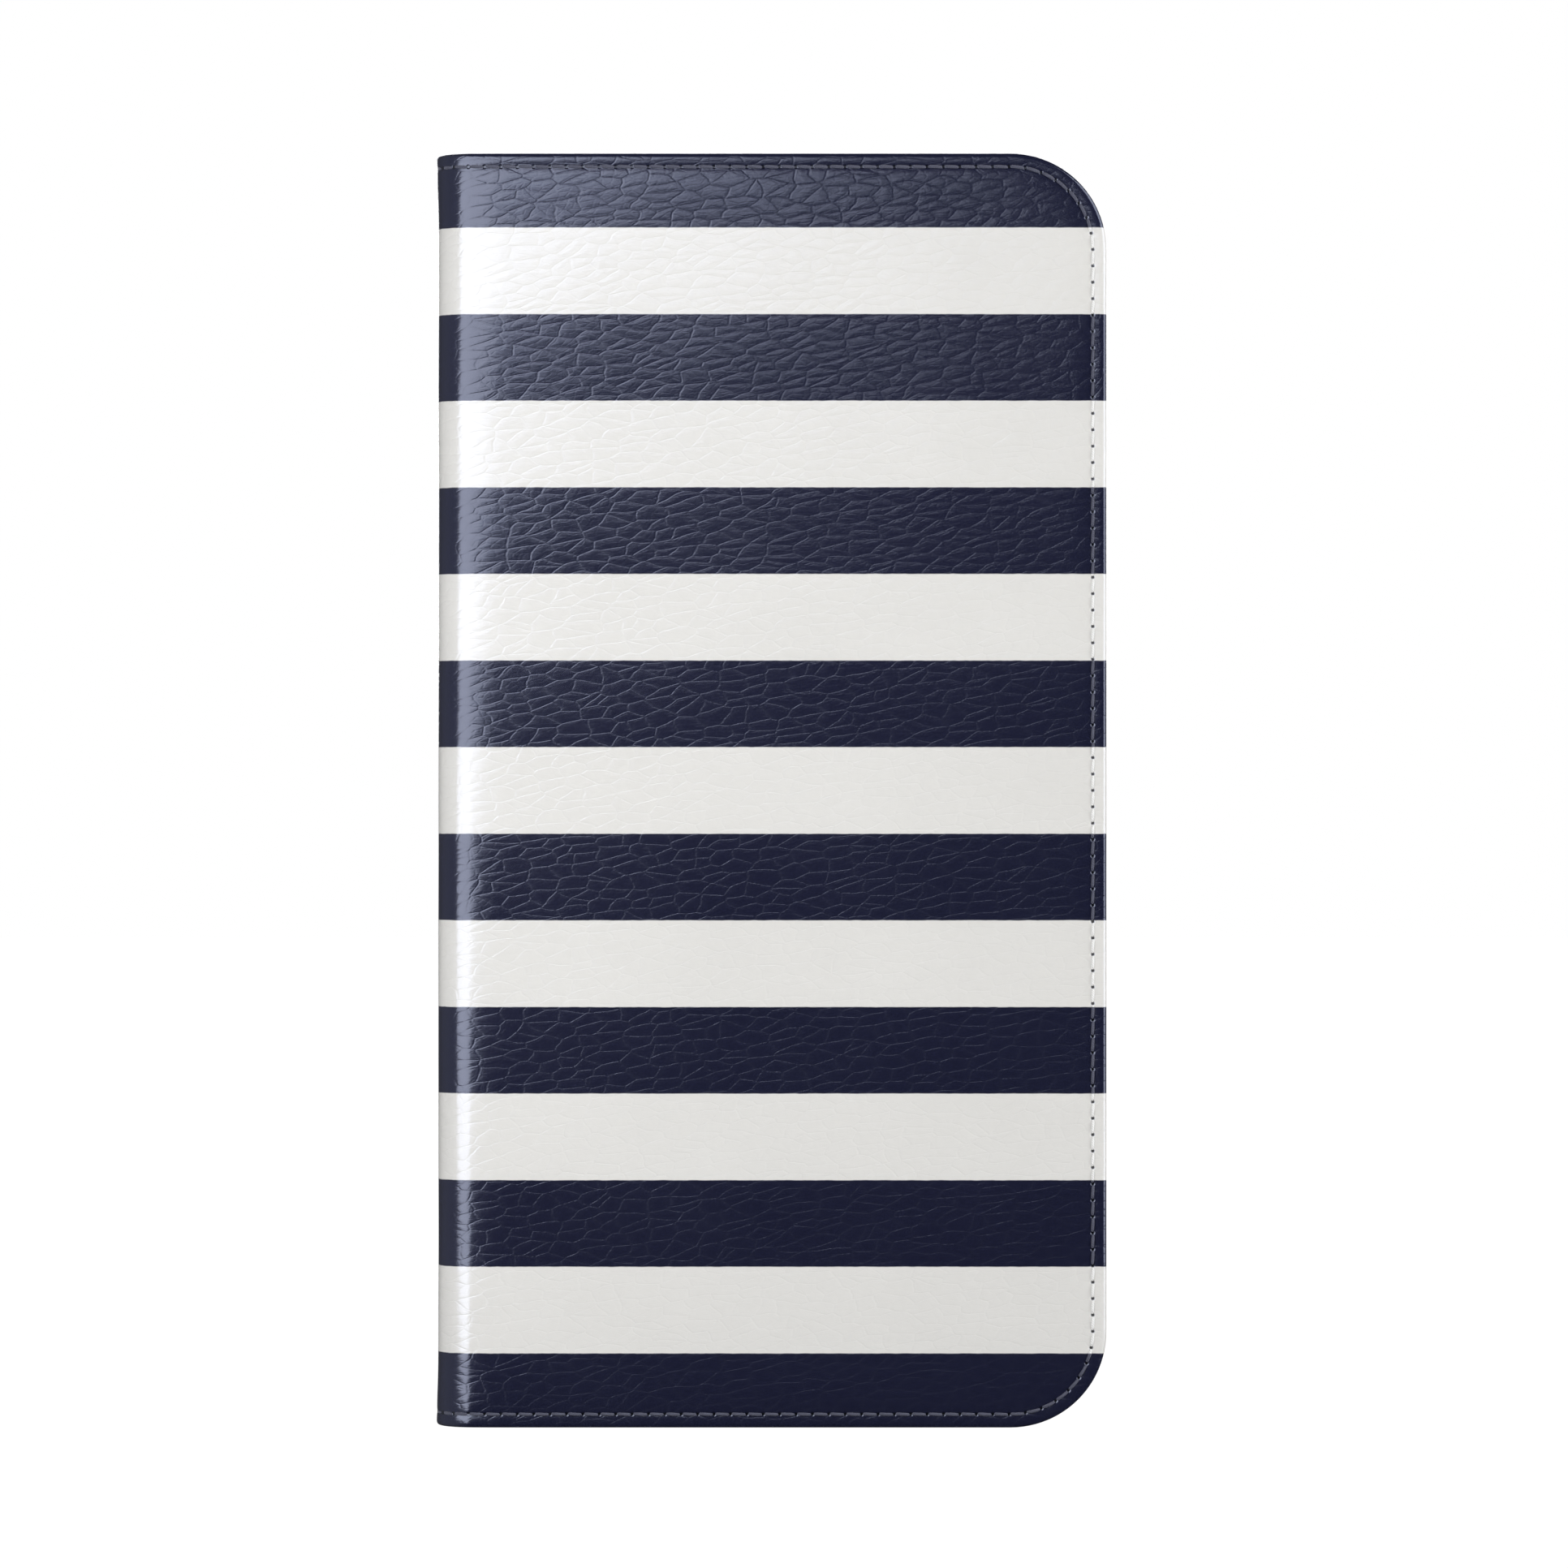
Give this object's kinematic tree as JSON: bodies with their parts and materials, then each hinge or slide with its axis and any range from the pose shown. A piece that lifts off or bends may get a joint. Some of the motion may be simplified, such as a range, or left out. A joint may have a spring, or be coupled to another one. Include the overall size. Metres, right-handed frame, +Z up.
{
  "type": "phone wallet case",
  "caption": "Folio wallet case for a phone in navy and white striped leather, with a folding spine, card and cash pockets in the front cover, and a soft tray with a camera window.",
  "frame": {"origin": "centre of the closed case's footprint, on the surface it stands on", "axes": "+Z up along the case's height, -X at the spine and +X at the free edge, -Y out of the front cover"},
  "size_m": [0.0872, 0.0176, 0.166],
  "materials": {
    "striped_leather": "pebbled, printed with navy and off-white bands",
    "foam_padding": "thin closed foam",
    "fibre_board": "grey-brown pressed board",
    "magnet": "nickel plated",
    "lining": "smooth microfibre",
    "pocket_leather": "fine grained",
    "stitch_thread": "bonded thread",
    "pocket_seam_thread": "bonded thread",
    "adhesive": "satin",
    "tray_plastic": "matte"
  },
  "bodies": {
    "back_cover": {"back_skin": "striped_leather", "back_padding": "foam_padding", "back_board": "fibre_board", "back_magnets": "magnet", "back_lining": "lining", "back_thread": "stitch_thread", "adhesive_pad": "adhesive", "tray_plate": "tray_plastic", "tray_rim": "tray_plastic"},
    "spine": {"spine_skin": "striped_leather", "spine_padding": "foam_padding", "spine_board": "fibre_board", "spine_lining": "lining", "spine_thread": "stitch_thread"},
    "front_cover": {"front_skin": "striped_leather", "front_padding": "foam_padding", "front_board": "fibre_board", "front_magnets": "magnet", "front_lining": "lining", "cash_pocket": "pocket_leather", "card_slot_low": "pocket_leather", "card_slot_middle": "pocket_leather", "card_slot_top": "pocket_leather", "front_thread": "stitch_thread", "pocket_thread": "pocket_seam_thread"}
  },
  "joints": [
    {"name": "back_fold", "type": "hinge", "parent": "back_cover", "child": "spine", "pos_m": [-0.04215, 0.00735, 0.083], "axis": [0, 0, -1], "range_deg": [0, 178]},
    {"name": "front_fold", "type": "hinge", "parent": "spine", "child": "front_cover", "pos_m": [-0.04215, -0.00735, 0.083], "axis": [0, 0, -1], "range_deg": [0, 178]}
  ]
}
